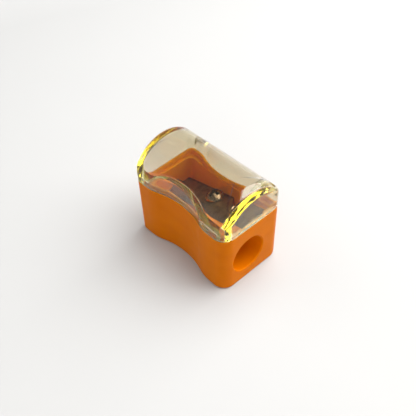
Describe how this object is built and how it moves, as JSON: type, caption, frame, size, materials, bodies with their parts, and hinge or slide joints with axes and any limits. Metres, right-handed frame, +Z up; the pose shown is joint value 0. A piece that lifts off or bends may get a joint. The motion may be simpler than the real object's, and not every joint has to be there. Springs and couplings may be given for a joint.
{
  "type": "pencil sharpener",
  "caption": "Small waisted desk pencil sharpener with a conical bore, a screwed-on blade and a clear domed lid that pulls off to empty the shavings.",
  "frame": {"origin": "centre of the flat underside, below the middle of the body", "axes": "+X along the pencil axis towards the hole the pencil enters, +Z up, +Y across the body"},
  "size_m": [0.026, 0.0164, 0.0223],
  "materials": {
    "body": "satin moulded orange",
    "blade": "ground, lightly oiled",
    "screw": "nickel plated",
    "lid": "clear, faintly yellow"
  },
  "bodies": {
    "body": {"body": "body", "blade": "blade"},
    "screw": {"screw": "screw"},
    "lid": {"lid": "lid"}
  },
  "joints": [
    {"name": "lid_lift", "type": "slide", "parent": "body", "child": "lid", "axis": [0, 0, 1], "range_m": [0, 0.015]},
    {"name": "screw_turn", "type": "hinge", "parent": "body", "child": "screw", "pos_m": [0.00053, 0.0027, 0.01061], "axis": [-0.2079, 0, 0.9781], "continuous": true}
  ]
}
